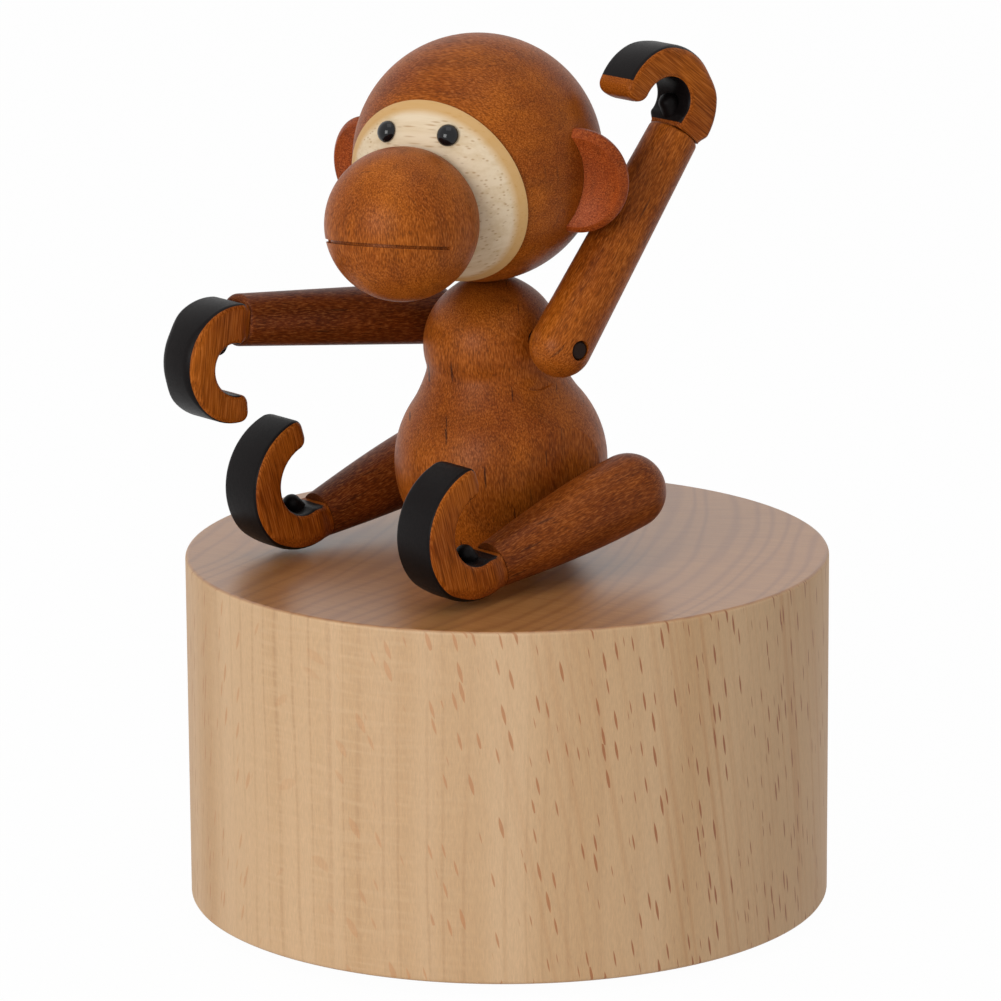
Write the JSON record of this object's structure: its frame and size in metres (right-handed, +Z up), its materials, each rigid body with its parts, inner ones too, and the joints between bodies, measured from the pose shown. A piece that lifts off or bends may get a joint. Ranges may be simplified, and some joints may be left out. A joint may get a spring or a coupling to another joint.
{
  "type": "wooden music box",
  "caption": "Turned wooden music box whose wound comb movement revolves a jointed wooden toy monkey sitting on top, with turning head, arms, legs, hands and feet.",
  "frame": {"origin": "centre of the felt's underside, where the box stands, on the spindle's axis", "axes": "+Z up along the spindle, -Y to the figure's front, +X to the figure's left"},
  "size_m": [0.08, 0.0814, 0.1103],
  "materials": {
    "raw_beech": "untreated turned beech, sanded smooth",
    "stained_beech": "beech stained a reddish brown, satin oil",
    "dark_stain": "peg ends stained near black",
    "pale_maple": "pale maple, satin",
    "black_bead": "glossy black bead",
    "birch_ply": "birch plywood, raw",
    "felt": "dark green felt",
    "zinc_casting": "cast zinc, dull grey",
    "brass": "plain brass",
    "spring_steel": "bright steel",
    "nylon": "natural nylon"
  },
  "bodies": {
    "case": {"drum_shell": "raw_beech", "top_bush": "brass", "movement_board": "birch_ply", "board_screw_1": "spring_steel", "board_screw_2": "spring_steel", "board_screw_3": "spring_steel", "bedplate": "zinc_casting", "movement_screw_1": "spring_steel", "movement_screw_2": "spring_steel", "movement_screw_3": "spring_steel", "comb": "spring_steel", "comb_screw_1": "spring_steel", "comb_screw_2": "spring_steel", "comb_screw_3": "spring_steel", "motor_bridge": "zinc_casting", "bridge_screw_1": "spring_steel", "bridge_screw_2": "spring_steel", "governor_frame": "zinc_casting", "governor_screw_1": "spring_steel", "governor_screw_2": "spring_steel", "clutch_spring": "spring_steel"},
    "winding_base": {"felt_pad": "felt", "winding_disc": "raw_beech", "winding_hub": "brass", "hub_screw_1": "spring_steel", "hub_screw_2": "spring_steel", "hub_screw_3": "spring_steel", "winding_arbor": "spring_steel"},
    "figure": {"spring_barrel": "brass", "crown_wheel": "brass", "mainspring": "spring_steel", "output_spindle": "spring_steel", "spindle_collar": "brass", "torso": "stained_beech", "neck_peg": "stained_beech", "shoulder_dowel": "dark_stain", "hip_dowel": "dark_stain"},
    "cylinder": {"cylinder_shaft": "spring_steel", "cylinder_pinion": "brass", "pinned_cylinder": "brass", "cylinder_gear": "brass"},
    "governor": {"governor_wheel": "spring_steel"},
    "fan": {"fan_worm": "nylon"},
    "head": {"head_ball": "stained_beech", "face_plate": "pale_maple", "muzzle": "stained_beech", "left_eye": "black_bead", "right_eye": "black_bead", "left_ear": "stained_beech", "right_ear": "stained_beech"},
    "left_arm": {"left_arm": "stained_beech"},
    "left_hand": {"left_hand": "stained_beech"},
    "right_arm": {"right_arm": "stained_beech"},
    "right_hand": {"right_hand": "stained_beech"},
    "left_leg": {"left_leg": "stained_beech"},
    "left_foot": {"left_foot": "stained_beech"},
    "right_leg": {"right_leg": "stained_beech"},
    "right_foot": {"right_foot": "stained_beech"}
  },
  "joints": [
    {"name": "winding_turn", "type": "hinge", "parent": "case", "child": "winding_base", "pos_m": [0, 0, 0], "axis": [0, 0, 1], "range_deg": [0, 2340]},
    {"name": "figure_spin", "type": "hinge", "parent": "case", "child": "figure", "pos_m": [0, 0, 0], "axis": [0, 0, 1], "continuous": true},
    {"name": "cylinder_spin", "type": "hinge", "parent": "case", "child": "cylinder", "pos_m": [0, 0, 0.0225], "axis": [1, 0, 0], "continuous": true},
    {"name": "governor_spin", "type": "hinge", "parent": "case", "child": "governor", "pos_m": [0, 0.009, 0.0225], "axis": [1, 0, 0], "continuous": true},
    {"name": "fan_spin", "type": "hinge", "parent": "case", "child": "fan", "pos_m": [0.0205, 0.0131, 0], "axis": [0, 0, 1], "continuous": true},
    {"name": "head_turn", "type": "hinge", "parent": "figure", "child": "head", "pos_m": [0, -0.00426, 0.09511], "axis": [0, -0.0872, 0.9962], "range_deg": [-90, 5]},
    {"name": "left_shoulder", "type": "hinge", "parent": "figure", "child": "left_arm", "pos_m": [0.0128, -0.00205, 0.07337], "axis": [-1, 0, 0], "range_deg": [-4, 95]},
    {"name": "right_shoulder", "type": "hinge", "parent": "figure", "child": "right_arm", "pos_m": [-0.0128, -0.00205, 0.07337], "axis": [-1, 0, 0], "range_deg": [-16, 35]},
    {"name": "left_wrist", "type": "hinge", "parent": "left_arm", "child": "left_hand", "pos_m": [0.0128, 0.01633, 0.09733], "axis": [0, 0.6088, 0.7934], "range_deg": [-90, 90]},
    {"name": "right_wrist", "type": "hinge", "parent": "right_arm", "child": "right_hand", "pos_m": [-0.0128, -0.03206, 0.07679], "axis": [0, -0.9936, 0.1132], "range_deg": [-90, 90]},
    {"name": "left_hip", "type": "hinge", "parent": "figure", "child": "left_leg", "pos_m": [0.0168, 0.00353, 0.05429], "axis": [-1, 0, 0], "range_deg": [0, 60]},
    {"name": "right_hip", "type": "hinge", "parent": "figure", "child": "right_leg", "pos_m": [-0.0168, 0.00353, 0.05429], "axis": [-1, 0, 0], "range_deg": [0, 20]},
    {"name": "left_ankle", "type": "hinge", "parent": "left_leg", "child": "left_foot", "pos_m": [0.0168, -0.01641, 0.04913], "axis": [0, -0.9681, -0.2504], "range_deg": [-25, 25]},
    {"name": "right_ankle", "type": "hinge", "parent": "right_leg", "child": "right_foot", "pos_m": [-0.0168, -0.01641, 0.04913], "axis": [0, -0.9681, -0.2504], "range_deg": [-25, 25]}
  ],
  "couplings": [
    {"joint": "cylinder_spin", "follows": "figure_spin", "ratio": 4},
    {"joint": "governor_spin", "follows": "figure_spin", "ratio": -16},
    {"joint": "fan_spin", "follows": "figure_spin", "ratio": 256}
  ]
}
